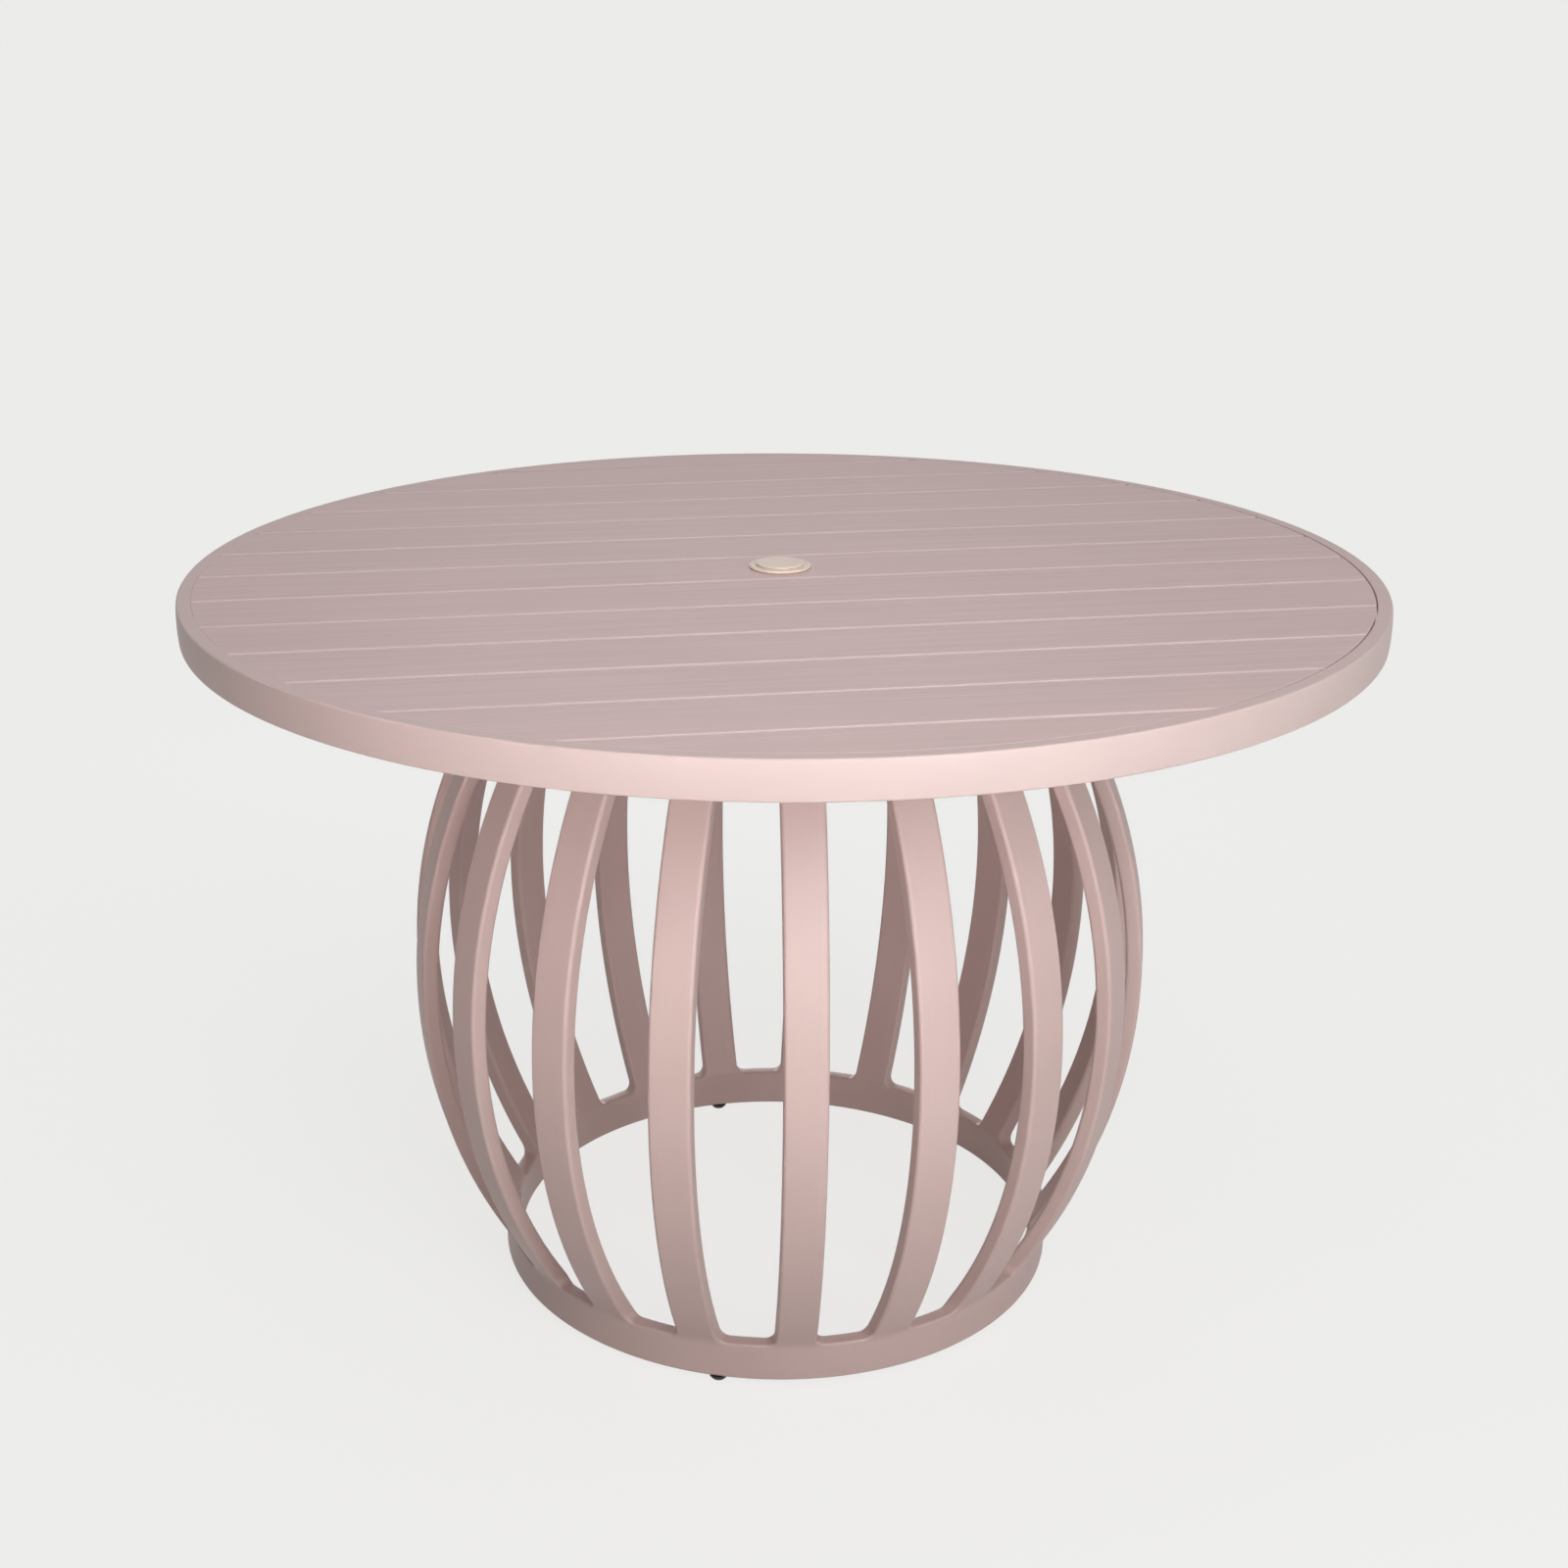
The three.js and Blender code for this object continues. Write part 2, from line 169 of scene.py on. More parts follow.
# The lamps: two soft boxes in front, a large one above, weak ones behind and on the right, one behind that
# stays below the table top, and two low ones in front with grids, whose narrow beams reach the rim and the
# heads of the ribs under it.
def soft_box(name, position, aim, width, height, watts, beam=180, tint=(1, 1, 1)):
    """A lamp of this size in metres, whose beam opens this many degrees."""
    lamp = bpy.data.lights.new(name, "AREA")
    lamp.color = tint
    lamp.shape = "RECTANGLE"
    lamp.size, lamp.size_y, lamp.energy = width, height, watts
    lamp.spread = math.radians(beam)
    stand = bpy.data.objects.new(name, lamp)
    stand.location = position
    stand.rotation_euler = (Vector(aim) - Vector(position)).to_track_quat("-Z", "Y").to_euler()
    scene.collection.objects.link(stand)


soft_box("front_box", (-0.305, -2.481, 0.95), (-0.037, -0.298, 0.52), 1.2, 0.9, 4.7, tint=(1, 0.985, 0.975))
soft_box("high_box", (0.35, -2.3, 1.92), (0.035, -0.197, 0.3), 1.5, 1.1, 23)
soft_box("top_box", (-0.12, -0.35, 2.9), (-0.05, -0.1, 0.7), 2.0, 2.0, 18, tint=(0.98, 0.955, 1))
soft_box("back_box", (0.3, 2.4, 2.4), (0, 0, 0.6), 1.5, 1.1, 4)
soft_box("low_back_box", (0.1, 2.7, 0.42), (0, 0, 0.42), 1.8, 0.55, 21)
soft_box("right_box", (2.6, 0, 1.0), (0, 0, 0.5), 1.2, 1.2, 1.8)
soft_box("left_grid", (-0.972, -2.084, 0.7), (-0.127, -0.272, 0.64), 0.8, 0.4, 0.65, beam=32,
         tint=(1, 0.92, 0.88))
soft_box("right_grid", (0.699, -2.608, 0.9), (0.078, -0.29, 0.71), 0.8, 0.5, 2.1, beam=50,
         tint=(0.92, 1, 1.02))


# Base ring: a hoop of rolled 40 x 16 mm aluminium tube with rounded corners. The ribs are welded to its upper
# edge, and each weld is ground flush outside and left as a round fillet in the corners of the openings.
def meet(first, second, softness):
    """The larger of two radii, with the corner between them filled."""
    spare = np.maximum(softness - np.abs(first - second), 0)
    return np.maximum(first, second) + spare * spare / (4 * softness)


_, ring_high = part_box("base_ring")
head_low, head_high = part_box("top_ring")
stock_width, stock_thickness = 0.040, 0.016
stock_round = 0.0035
corner_turns = 6  # steps round a corner of the tube
support = 0.0007  # from a round to the line beside it that keeps the face flat
weld_fillet = 0.009
weld_flare = stock_width / 2 + weld_fillet  # half the width of a rib's end with its welds
kink_fill = 0.004  # softness of the bend where the ribs stand on a hoop
flat_levels = (-0.006, 0.009)  # along a rib from its end: the hoop's round face ends and the flat one begins
flat_widths = (0.022, 0.034)  # aside from a rib's middle: the flat face ends here and the round one begins
rib_count = 19
first_rib = math.radians(-1.2)
bend_radius = 0.540
foot = np.array((ring_high.x, ring_high.z))
head = np.array((head_high.x, head_low.z))
chord = head - foot
sideways = np.array((-chord[1], chord[0])) / np.hypot(*chord)
bend_centre = (foot + head) / 2 + sideways * math.sqrt(bend_radius**2 - chord @ chord / 4)
middle_height = float(foot[1] + head[1]) / 2


def barrel_radius(height, depth):
    """Distance from the axis to the barrel's outer face, at depth 0, or to its inner face, at depth 1."""
    height = np.asarray(height, float)
    drop = depth * stock_thickness
    hoop_radius = np.where(height < middle_height, foot[0], head[0]) - drop
    reach = bend_radius - drop
    arc = bend_centre[0] + np.sqrt(np.maximum(reach**2 - (height - bend_centre[1]) ** 2, 0))
    return meet(hoop_radius, arc, kink_fill)


def steepness(height, depth):
    """How much longer the tube's wall is than it is high, at this height."""
    step = 0.0005
    slope = (barrel_radius(height + step, depth) - barrel_radius(height - step, depth)) / (2 * step)
    return np.sqrt(1 + slope**2)


def smooth_share(value, low, high):
    """0 up to low, 1 from high on, and an even change between."""
    share = np.clip((value - low) / (high - low), 0, 1)
    return share * share * (3 - 2 * share)


def barrel_point(aside, height, depth, recess, angle):
    """A point of the rib or hoop at this angle, aside from the rib's middle and sunk in from its face."""
    slope = steepness(height, depth)
    inward = -1 if depth else 1
    radius = barrel_radius(height, depth) - inward * recess * slope
    from_joint = np.minimum(height - foot[1], head[1] - height)
    flat = smooth_share(from_joint, *flat_levels) * (1 - smooth_share(np.abs(aside), *flat_widths))
    bearing = aside / radius
    rolled = np.array((radius * np.cos(bearing), radius * np.sin(bearing)))
    straight = np.array((radius + 0 * aside, aside + 0 * radius))
    x, y = rolled * (1 - flat) + straight * flat
    turned_x = x * math.cos(angle) - y * math.sin(angle)
    turned_y = x * math.sin(angle) + y * math.cos(angle)
    return (turned_x, turned_y, float(height))


def corner_steps(count):
    """(distance from the edge, recess of the face there) round a corner of the tube, from the edge in."""
    turns = np.linspace(0, math.pi / 2, count)
    return [(stock_round * (1 - math.cos(a)), stock_round * (1 - math.sin(a))) for a in turns]


def edge_distance(aside, below):
    """How far a point of the hoop lies from the edge of the opening above it."""
    from_rib = abs(aside) - weld_flare
    if from_rib >= 0:
        return below
    return math.hypot(from_rib, below + weld_fillet) - weld_fillet


def corner_recess(distance):
    """How deep the tube's rounded corner lies under its face, this far from the edge."""
    if distance >= stock_round:
        return 0.0
    return stock_round - math.sqrt(stock_round**2 - (stock_round - distance) ** 2)


sharp_angle = math.radians(35)


def finished(name, mesh, coat, nodes_replaced, body="table", sharp=sharp_angle):
    """A finished mesh as a piece of the table, shaded smooth but for its sharp edges, on its body."""
    mesh.shade_smooth()
    mesh.set_sharp_from_angle(angle=sharp)
    mesh.materials.clear()
    mesh.materials.append(coat)
    piece = bpy.data.objects.new(name, mesh)
    scene.collection.objects.link(piece)
    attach(piece, body)
    if nodes_replaced:
        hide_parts(*nodes_replaced)
    return piece


def closed_mesh(name, points, faces):
    """A mesh with its doubled points merged and its faces turned outwards."""
    mesh = bpy.data.meshes.new(name)
    mesh.from_pydata(points, [], faces)
    shell = bmesh.new()
    shell.from_mesh(mesh)
    bmesh.ops.remove_doubles(shell, verts=shell.verts, dist=1e-6)
    bmesh.ops.recalc_face_normals(shell, faces=shell.faces)
    shell.to_mesh(mesh)
    shell.free()
    return mesh


def rows_joined(rows, ring_closed, rows_closed):
    """Faces between rows of points that lie next to each other, as on a net."""
    count = len(rows[0])
    points = [p for row in rows for p in row]
    faces = []
    for i in range(len(rows) if rows_closed else len(rows) - 1):
        after = (i + 1) % len(rows)
        for j in range(count if ring_closed else count - 1):
            beside = (j + 1) % count
            faces.append((i * count + j, i * count + beside, after * count + beside, after * count + j))
    return points, faces


# Where the hoops are cut: down from the joint, aside over the ribs, and how often across half an opening.
hoop_levels = (0, 0.0003, 0.0008, 0.0015, 0.0024, 0.0035, 0.0045, 0.006, 0.009, 0.016, 0.026,
               stock_width - stock_round - support)
rib_stops = (0, 0.006, 0.012, 0.017)
opening_stops = 6


def hoop_section(aside, joint, outward, radius, angle):
    """The hoop's outline, cut this far aside from a rib. joint is the level of the ribs' ends there."""
    half_pitch = math.pi / rib_count * radius
    inner_pitch = half_pitch * (1 - stock_thickness / radius)
    points = []
    for depth in (0, 1):
        beside = aside
        if depth and abs(aside) > weld_flare:
            beyond = (abs(aside) - weld_flare) / (half_pitch - weld_flare)
            beside = math.copysign(weld_flare + beyond * (inner_pitch - weld_flare), aside)
        face = []
        for below in hoop_levels:
            recess = corner_recess(edge_distance(beside, below)) if below < weld_fillet else 0
            face.append(barrel_point(beside, joint + outward * below, depth, recess, angle))
        for from_edge, recess in corner_steps(corner_turns)[::-1] + [(0, stock_round + support)]:
            below = stock_width - from_edge
            face.append(barrel_point(beside, joint + outward * below, depth, recess, angle))
        points += face if depth == 0 else face[::-1]
    return points


def welded_hoop(name, joint, outward, radius):
    """A hoop of the tube. outward is the way from the ribs to the hoop's far edge, 1 up or -1 down."""
    half_pitch = math.pi / rib_count * radius
    inside = [weld_flare - math.sqrt((weld_fillet + d) ** 2 - weld_fillet**2)
              for d, _ in corner_steps(corner_turns)]
    half = [*rib_stops, *inside[::-1], *np.linspace(weld_flare, half_pitch, opening_stops)[1:]]
    stops = [-s for s in half[::-1]] + half[1:]
    rows = []
    for i in range(rib_count):
        angle = first_rib + i * 2 * math.pi / rib_count
        rows += [hoop_section(s, joint, outward, radius, angle) for s in stops[:-1]]
    return closed_mesh(name, *rows_joined(rows, True, True))


# The coat on every pink piece: a satin powder coat, slightly pebbled, with faint cloudy changes of shade.
# On the tubes the lines of the extrusion show through it, and on the slats a fine straight grain.
coat_dark, coat_light = shade(207, 180, 175), shade(214, 187, 182)
clouds_per_metre, pebbles_per_metre = 5, 700
tint_range = (0.34, 0.66)  # levels of the clouds at which the coat is fully dark and fully light
painted_highlight_turn = (0.99, 0.85)  # upward part of the normal at which the painted highlight on edges and groove walls begins and is full


def varied_gloss(nodes, links, cause, roughness, change):
    """Lets the roughness go up and down by this much with a noise."""
    gloss = added(nodes, "ShaderNodeMapRange", {"To Min": roughness - change, "To Max": roughness + change})
    links.new(cause.outputs["Fac"], gloss.inputs["Value"])
    links.new(gloss.outputs["Result"], nodes["Principled BSDF"].inputs["Roughness"])


def powder_coat(name, grain_sizes, grain_depth, grain_from="UV", grain_tint=0.35, roughness=0.46,
                shades=(coat_dark, coat_light), painted_edge_highlight=None):
    """grain_sizes are how often per metre the grain changes, across it and along it. The last argument is a
    lighter colour painted on what doesn't face up: a painted highlight on edges and groove walls, where the
    light falls."""
    coat, nodes, links = new_material(name)
    shader = nodes["Principled BSDF"]
    place = nodes.new("ShaderNodeTexCoord")

    cloud = added(nodes, "ShaderNodeTexNoise", {"Scale": clouds_per_metre, "Detail": 3})
    links.new(place.outputs["Object"], cloud.inputs["Vector"])

    stretch = added(nodes, "ShaderNodeVectorMath", {1: grain_sizes}, operation="MULTIPLY")
    offset = added(nodes, "ShaderNodeVectorMath", operation="ADD")
    links.new(place.outputs[grain_from], stretch.inputs[0])
    links.new(stretch.outputs[0], offset.inputs[0])
    links.new(place.outputs["Object"], offset.inputs[1])
    grain = added(nodes, "ShaderNodeTexNoise", {"Scale": 1, "Detail": 3, "Roughness": 0.65})
    links.new(offset.outputs[0], grain.inputs["Vector"])

    both = added(nodes, "ShaderNodeMix", {"Factor": grain_tint}, data_type="FLOAT")
    links.new(cloud.outputs["Fac"], both.inputs["A"])
    links.new(grain.outputs["Fac"], both.inputs["B"])
    tint = nodes.new("ShaderNodeValToRGB")
    for i in (0, 1):
        tint.color_ramp.elements[i].position = tint_range[i]
        tint.color_ramp.elements[i].color = shades[i]
    links.new(both.outputs["Result"], tint.inputs["Fac"])
    colour = tint.outputs["Color"]
    # Painted highlight: what doesn't face up gets a lighter colour, standing in for the light on edges and
    # groove walls.
    if painted_edge_highlight:
        facing = nodes.new("ShaderNodeNewGeometry")
        upright = nodes.new("ShaderNodeSeparateXYZ")
        painted_highlight_share = added(nodes, "ShaderNodeMapRange", {"From Min": painted_highlight_turn[0], "From Max": painted_highlight_turn[1]},
                        interpolation_type="SMOOTHSTEP")
        painted_highlight_mix = added(nodes, "ShaderNodeMix", {"B": painted_edge_highlight}, data_type="RGBA")
        links.new(facing.outputs["Normal"], upright.inputs[0])
        links.new(upright.outputs["Z"], painted_highlight_share.inputs["Value"])
        links.new(painted_highlight_share.outputs["Result"], painted_highlight_mix.inputs["Factor"])
        links.new(colour, painted_highlight_mix.inputs["A"])
        colour = painted_highlight_mix.outputs["Result"]
    links.new(colour, shader.inputs["Base Color"])
    varied_gloss(nodes, links, cloud, roughness, 0.05)

    pebble = added(nodes, "ShaderNodeTexNoise", {"Scale": pebbles_per_metre, "Detail": 1})
    pebbled = added(nodes, "ShaderNodeBump", {"Strength": 0.5, "Distance": 0.00003})
    lined = added(nodes, "ShaderNodeBump", {"Strength": 0.6, "Distance": grain_depth})
    links.new(place.outputs["Object"], pebble.inputs["Vector"])
    links.new(pebble.outputs["Fac"], pebbled.inputs["Height"])
    links.new(grain.outputs["Fac"], lined.inputs["Height"])
    links.new(pebbled.outputs["Normal"], lined.inputs["Normal"])
    links.new(lined.outputs["Normal"], shader.inputs["Normal"])
    return coat


tube_coat = powder_coat("tube_powder_coat", (420, 4, 1), 0.00005, grain_tint=0.2)
hoop_coat = powder_coat("hoop_powder_coat", (3, 3, 420), 0.00005, "Object", grain_tint=0.2)

base_ring = welded_hoop("base_ring_hoop", foot[1], -1, foot[0])
finished("base_ring_hoop", base_ring, hoop_coat, ["base_ring"])


# Ribs: nineteen lengths of the same tube, bent to one arc and welded between the two hoops. Each has its flat
# side outward, and its ends flare into the weld fillets.
weld_steps = 9  # levels of a weld fillet
bend_levels = 42  # levels between the fillets
rib_corner_turns = 7


def rib_section(height):
    """The rib's outline at this height, rounded at its corners and wider in the welds."""
    from_end = min(height - foot[1], head[1] - height)
    corner = corner_steps(rib_corner_turns)
    if from_end < weld_fillet:
        half = [weld_flare - math.sqrt((weld_fillet + d) ** 2 - (weld_fillet - from_end) ** 2)
                for d, _ in corner]
    else:
        half = [stock_width / 2 - d for d, _ in corner]
    side = [(half[0], stock_round + support)] + [(s, recess) for s, (_, recess) in zip(half, corner)]
    side.append((half[-1] - support, 0))
    middle = [(half[-1] / 2, 0), (0, 0), (-half[-1] / 2, 0)]
    face = side + middle + [(-s, recess) for s, recess in reversed(side)]
    outer = [barrel_point(s, height, 0, recess, 0) for s, recess in face]
    inner = [barrel_point(s, height, 1, recess, 0) for s, recess in reversed(face)]
    return outer + inner


weld_levels = [weld_fillet * (1 - math.cos(a)) for a in np.linspace(0, math.pi / 2, weld_steps)]
arc_levels = np.linspace(foot[1] + weld_fillet, head[1] - weld_fillet, bend_levels + 2)[1:-1]
rib_levels = [foot[1] + z for z in weld_levels] + list(arc_levels) + [head[1] - z for z in weld_levels[::-1]]
sections = [rib_section(z) for z in rib_levels]
rib_points, rib_faces = rows_joined(sections, True, False)
round_section = len(sections[0])
rib_faces.append(range(round_section))
rib_faces.append(range(len(rib_points) - round_section, len(rib_points)))
one_rib = closed_mesh("rib", rib_points, rib_faces)
runs = one_rib.uv_layers.new(name="stock")
inner_grain = 0.2  # how far off the grain of the inner face starts, so that it isn't the outer one's
for loop in one_rib.loops:
    x, y, z = one_rib.vertices[loop.vertex_index].co
    runs.data[loop.index].uv = (y + inner_grain * (x < barrel_radius(z, 0) - stock_thickness / 2), z)


def node_tree(name, inputs):
    """An empty tree of Geometry Nodes with these named inputs after the mesh, and one mesh out."""
    tree = bpy.data.node_groups.new(name, "GeometryNodeTree")
    tree.interface.new_socket("Mesh", in_out="INPUT", socket_type="NodeSocketGeometry")
    for label, kind in inputs.items():
        tree.interface.new_socket(label, in_out="INPUT", socket_type="NodeSocket" + kind)
    tree.interface.new_socket("Mesh", in_out="OUTPUT", socket_type="NodeSocketGeometry")
    return tree, tree.nodes.new("NodeGroupInput"), tree.nodes.new("NodeGroupOutput")


def grown(name, tree, seed, values):
    """The plain mesh that the tree makes of a seed mesh."""
    source = bpy.data.objects.new(name + "_seed", seed)
    scene.collection.objects.link(source)
    modifier = source.modifiers.new(name, "NODES")
    modifier.node_group = tree
    for item in tree.interface.items_tree:
        if item.in_out == "INPUT" and item.name in values:
            modifier[item.identifier] = values[item.name]
    shown = source.evaluated_get(bpy.context.evaluated_depsgraph_get())
    mesh = bpy.data.meshes.new_from_object(shown)
    source.modifiers.remove(modifier)
    bpy.data.objects.remove(source)
    mesh.name = name
    return mesh


def maths(tree, operation, first, second):
    """The outlet of a calculation with two numbers or outlets."""
    node = tree.nodes.new("ShaderNodeMath")
    node.operation = operation
    for socket, value in zip(node.inputs, (first, second)):
        if isinstance(value, (int, float)):
            socket.default_value = value
        else:
            tree.links.new(value, socket)
    return node.outputs[0]


def copied(tree, mesh, points, rotation=None):
    """Copies of a mesh on points, as one plain mesh."""
    copies = tree.nodes.new("GeometryNodeInstanceOnPoints")
    plain = tree.nodes.new("GeometryNodeRealizeInstances")
    tree.links.new(points, copies.inputs["Points"])
    tree.links.new(mesh, copies.inputs["Instance"])
    if rotation is not None:
        tree.links.new(rotation, copies.inputs["Rotation"])
    tree.links.new(copies.outputs[0], plain.inputs[0])
    return plain.outputs[0]


def coated(tree, shape, given, made):
    """Sends a shape out of the tree in its coat."""
    coating = tree.nodes.new("GeometryNodeSetMaterial")
    tree.links.new(shape, coating.inputs["Geometry"])
    tree.links.new(given.outputs["Coat"], coating.inputs["Material"])
    tree.links.new(coating.outputs[0], made.inputs[0])
    return tree


def round_the_axis():
    """Copies of a piece all round the table's axis, evenly spaced from a first angle."""
    tree, given, made = node_tree("round_the_axis",
                                  {"Count": "Int", "First angle": "Float", "Coat": "Material"})
    points = tree.nodes.new("GeometryNodePoints")
    number = tree.nodes.new("GeometryNodeInputIndex")
    turning = tree.nodes.new("ShaderNodeCombineXYZ")
    pitch = maths(tree, "DIVIDE", 2 * math.pi, given.outputs["Count"])
    angle = maths(tree, "MULTIPLY", number.outputs[0], pitch)
    tree.links.new(maths(tree, "ADD", angle, given.outputs["First angle"]), turning.inputs["Z"])
    tree.links.new(given.outputs["Count"], points.inputs["Count"])
    ring = copied(tree, given.outputs["Mesh"], points.outputs[0], turning.outputs[0])
    return coated(tree, ring, given, made)


ribs = grown("barrel_ribs", round_the_axis(), one_rib,
             {"Count": rib_count, "First angle": first_rib, "Coat": tube_coat})
finished("barrel_ribs", ribs, tube_coat,
         [f"rib_{i:02d}" for i in range(1, rib_count + 1)])

# Top ring: the smaller hoop on the rib heads, of the same tube with the same welds. The table top is bolted
# to it.
top_ring = welded_hoop("top_ring_hoop", head[1], 1, head[0])
finished("top_ring_hoop", top_ring, hoop_coat, ["top_ring"])


# Glides: four tapered feet of black moulded plastic under the base ring. Each is pressed by its stem into a
# hole in the ring, and the table stands on them.
def eased(corners, steps=4):
    """A closed outline with round corners, each given as (across, up) or as (across, up, radius)."""
    outline = []
    for i, (across, up, *radius) in enumerate(corners):
        here = np.array((across, up))
        if not radius:
            outline.append((across, up))
            continue
        back = np.array(corners[i - 1][:2]) - here
        onward = np.array(corners[(i + 1) % len(corners)][:2]) - here
        back /= np.hypot(*back)
        onward /= np.hypot(*onward)
        half = math.acos(back @ onward) / 2
        run = radius[0] / math.tan(half)
        middle = here + (back + onward) / np.hypot(*(back + onward)) * radius[0] / math.sin(half)
        first, last = here + back * run - middle, here + onward * run - middle
        turn = math.pi - 2 * half
        arc = [middle + (math.sin(turn - a) * first + math.sin(a) * last) / math.sin(turn)
               for a in np.linspace(0, turn, steps + 1)]
        support = radius[0] / 6
        outline += [tuple(p) for p in (arc[0] + back * support, *arc, arc[-1] + onward * support)]
    return outline


def turned(name, outline, steps, closed=True, centre=(0, 0)):
    """A piece turned about an upright axis. Its outline of (radius, height) closes, or ends on the axis."""
    turns = np.arange(steps) * 2 * math.pi / steps
    rows = [[(centre[0] + r * math.cos(a), centre[1] + r * math.sin(a), z) for r, z in outline]
            for a in turns]
    return closed_mesh(name, *rows_joined(rows, closed, True))


def together(name, meshes):
    """One mesh of several."""
    merged = bmesh.new()
    for mesh in meshes:
        merged.from_mesh(mesh)
    mesh = bpy.data.meshes.new(name)
    merged.to_mesh(mesh)
    merged.free()
    return mesh


def plain_finish(name, colour, roughness, metallic=0, pebble_depth=0.00001):
    """A material of one colour whose gloss varies a little, over a finely pebbled surface."""
    wear_per_metre, fine_pebbles_per_metre = 60, 2500
    finish, nodes, links = new_material(name)
    shader = nodes["Principled BSDF"]
    shader.inputs["Base Color"].default_value = colour
    shader.inputs["Metallic"].default_value = metallic
    place = nodes.new("ShaderNodeTexCoord")
    wear = added(nodes, "ShaderNodeTexNoise", {"Scale": wear_per_metre, "Detail": 4})
    pebble = added(nodes, "ShaderNodeTexNoise", {"Scale": fine_pebbles_per_metre})
    bump = added(nodes, "ShaderNodeBump", {"Strength": 0.5, "Distance": pebble_depth})
    links.new(place.outputs["Object"], wear.inputs["Vector"])
    links.new(place.outputs["Object"], pebble.inputs["Vector"])
    links.new(pebble.outputs["Fac"], bump.inputs["Height"])
    links.new(bump.outputs["Normal"], shader.inputs["Normal"])
    varied_gloss(nodes, links, wear, roughness, 0.08)
    return finish


glide_plastic = plain_finish("black_glide_plastic", shade(44, 42, 41), 0.5, pebble_depth=0.00003)
glide_angles = (-111, -9, 94, 171)  # degrees from +X
glide_circle = 0.282  # radius on which they stand
glide_radius, glide_height = 0.0090, 0.0047
stem_radius, stem_top = 0.0040, 0.0170
sole_hollow = 0.0007
glide_facets = 40
glide_outline = [(0, sole_hollow), (0.0030, sole_hollow)] + eased([
    (0.0034, 0.0), (0.0065, 0.0, 0.0008), (glide_radius, 0.0030, 0.0009),
    (glide_radius, glide_height, 0.0004), (stem_radius + 0.0005, glide_height),
    (stem_radius, glide_height + 0.0005), (stem_radius, stem_top - 0.001),
    (stem_radius - 0.001, stem_top)]) + [(0, stem_top)]
glides = []
for degrees in glide_angles:
    angle = math.radians(degrees)
    stand = (glide_circle * math.cos(angle), glide_circle * math.sin(angle))
    glides.append(turned("glide", glide_outline, glide_facets, closed=False, centre=stand))
finished("floor_glides", together("floor_glides", glides), glide_plastic,
         [f"glide_{i}" for i in range(1, 5)])


# Mounting tabs: four flat plates inside the top ring, two under each cross bar, welded edge-on to the ring's
# inner face. Each has a round hole for the bolt that holds the table top.
bar_offset = 0.200  # from the table's axis to the middle of a cross bar
tab_width, tab_reach = 0.036, 0.072
tab_top, tab_bottom = 0.7044, 0.6994
tab_edge, tab_corner = 0.0005, 0.006
ring_inner = 0.2407
tab_end = math.sqrt(0.241**2 - bar_offset**2)  # where the ring's inner face passes the middle of the bar
tab_nose = tab_end - tab_reach
bolt_place = tab_nose + 0.026
bolt_hole = 0.0043


def ring_outline(count, radius, centre):
    """Points on a circle."""
    turns = np.arange(count) * 2 * math.pi / count
    return [(centre[0] + radius * math.cos(a), centre[1] + radius * math.sin(a)) for a in turns]


def sized(outline, middle, edge):
    """An outline drawn in towards its middle, or out from it, by about this much."""
    result = []
    for x, y in outline:
        dx, dy = x - middle[0], y - middle[1]
        share = 1 - edge / math.hypot(dx, dy)
        result.append((middle[0] + dx * share, middle[1] + dy * share))
    return result


def spaced(outline, count, middle):
    """A closed outline as count points that lie evenly by direction from its middle."""
    steps = 40  # on each side of the outline
    loop = np.array(outline + outline[:1]) - middle
    fine = np.concatenate([a + (b - a) * np.linspace(0, 1, steps, endpoint=False)[:, None]
                           for a, b in zip(loop[:-1], loop[1:])])
    bearing = np.arctan2(fine[:, 1], fine[:, 0]) % (2 * math.pi)
    order = np.argsort(bearing)
    wanted = np.arange(count) * 2 * math.pi / count
    reach = np.interp(wanted, bearing[order], np.hypot(*fine[order].T), period=2 * math.pi)
    return [(middle[0] + r * math.cos(a), middle[1] + r * math.sin(a)) for r, a in zip(reach, wanted)]


def pierced_plate(name, outline, hole_radius, middle, bottom, top, edge):
    """A flat plate with a round hole, and with the sharpness taken off its edges."""
    count = 128
    outside = spaced(outline, count, middle)
    inside = ring_outline(count, hole_radius, middle)
    bent = edge * 0.3
    flat_from = 3 * edge
    levels = [(edge, bottom), (bent, bottom + bent), (0, bottom + edge),
              (0, top - edge), (bent, top - bent), (edge, top)]
    loops = [[(x, y, z) for x, y in sized(outside, middle, d)] for d, z in levels]
    loops.append([(x, y, top) for x, y in sized(outside, middle, flat_from)])
    loops.append([(x, y, top) for x, y in sized(inside, middle, -flat_from)])
    loops += [[(x, y, z) for x, y in sized(inside, middle, -d)] for d, z in levels[::-1]]
    loops.append([(x, y, bottom) for x, y in sized(inside, middle, -flat_from)])
    loops.append([(x, y, bottom) for x, y in sized(outside, middle, flat_from)])
    return closed_mesh(name, *rows_joined(loops, True, True))


tabs = []
for side_x, side_y in ((1, 1), (-1, 1), (-1, -1), (1, -1)):
    across = np.linspace(bar_offset - tab_width / 2, bar_offset + tab_width / 2, 13)
    arc = [(x, math.sqrt(ring_inner**2 - x * x)) for x in across]
    straight = tab_nose + 0.03  # the tab's sides are straight from here on
    nose = eased([(across[-1], straight), (across[-1], tab_nose, tab_corner),
                  (across[0], tab_nose, tab_corner), (across[0], straight)], 6)
    outline = [(side_x * x, side_y * y) for x, y in arc + nose]
    if side_x * side_y > 0:
        outline.reverse()
    middle = np.array((side_x * bar_offset, side_y * bolt_place))
    tabs.append(pierced_plate("tab", outline, bolt_hole, middle, tab_bottom, tab_top, tab_edge))
bracket_coat = powder_coat("bracket_powder_coat", (90, 90, 90), 0.00002, "Object", grain_tint=0.1)
